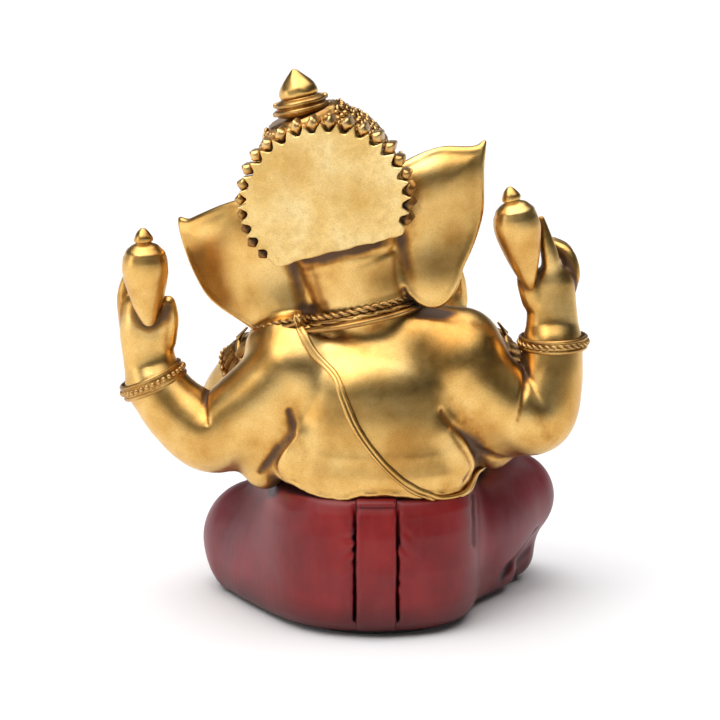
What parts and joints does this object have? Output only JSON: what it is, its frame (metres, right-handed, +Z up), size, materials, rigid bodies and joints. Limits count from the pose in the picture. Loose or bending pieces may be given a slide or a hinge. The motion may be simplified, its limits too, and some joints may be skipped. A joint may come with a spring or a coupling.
{
  "type": "ganesha idol",
  "caption": "Seated elephant-headed devotional figure in gold and red, crown with a beaded back plate, raised hands holding conch shells, a bowl of sweets in its lap, on felt.",
  "frame": {"origin": "on the underside of the felt pad, on the figure's mid-plane, 8 mm in front of the seat's centre", "axes": "+Z up to the crown, -Y the way the figure faces, +X the figure's left side"},
  "size_m": [0.1383, 0.0954, 0.1601],
  "materials": {
    "gold_paint": "satin metallic gold paint over cast resin, brown wash in the creases",
    "antique_gold_paint": "satin metallic gold paint with a heavier brown wash",
    "pale_gold_paint": "flat brushed pale gold paint",
    "red_paint": "satin oxblood red paint over cast resin",
    "ivory_paint": "satin ivory paint",
    "eye_paint": "gloss dark brown paint",
    "sweet_paint": "satin warm yellow paint",
    "red_stone": "gloss",
    "felt": "felt",
    "steel": "drawn rod"
  },
  "bodies": {
    "root": {"felt_pad": "felt", "seat": "red_paint", "left_leg": "red_paint", "right_leg": "red_paint", "back_strip": "red_paint", "front_pleat": "red_paint", "left_foot": "gold_paint", "right_foot": "gold_paint", "left_anklet": "antique_gold_paint", "right_anklet": "antique_gold_paint", "torso": "gold_paint", "body_cord": "antique_gold_paint", "neck_cord": "antique_gold_paint", "collar": "antique_gold_paint", "pendant": "antique_gold_paint", "rear_left_arm": "gold_paint", "rear_right_arm": "gold_paint", "front_left_arm": "gold_paint", "front_right_arm": "gold_paint", "rear_left_hand": "gold_paint", "rear_right_hand": "gold_paint", "front_left_hand": "gold_paint", "front_right_hand": "gold_paint", "rear_left_bangle": "antique_gold_paint", "rear_right_bangle": "antique_gold_paint", "front_left_bangle": "antique_gold_paint", "front_right_bangle": "antique_gold_paint", "left_armlet": "antique_gold_paint", "right_armlet": "antique_gold_paint", "left_conch": "gold_paint", "right_conch": "gold_paint", "sweet_bowl": "antique_gold_paint", "sweets": "sweet_paint", "head": "gold_paint", "trunk": "gold_paint", "left_tusk": "ivory_paint", "right_tusk": "ivory_paint", "eyes": "eye_paint", "brow_mark": "red_paint", "left_ear": "gold_paint", "right_ear": "gold_paint", "crown_plate": "pale_gold_paint", "crown_beads": "antique_gold_paint", "crown_dome": "antique_gold_paint", "crown_band": "antique_gold_paint", "crown_leaves": "antique_gold_paint", "crown_jewels": "red_stone", "finial_rings": "antique_gold_paint", "finial_bud": "antique_gold_paint", "arm_dowels": "steel", "hand_dowels": "steel", "neck_dowel": "steel", "crown_dowel": "steel", "seat_dowels": "steel"}
  },
  "joints": []
}
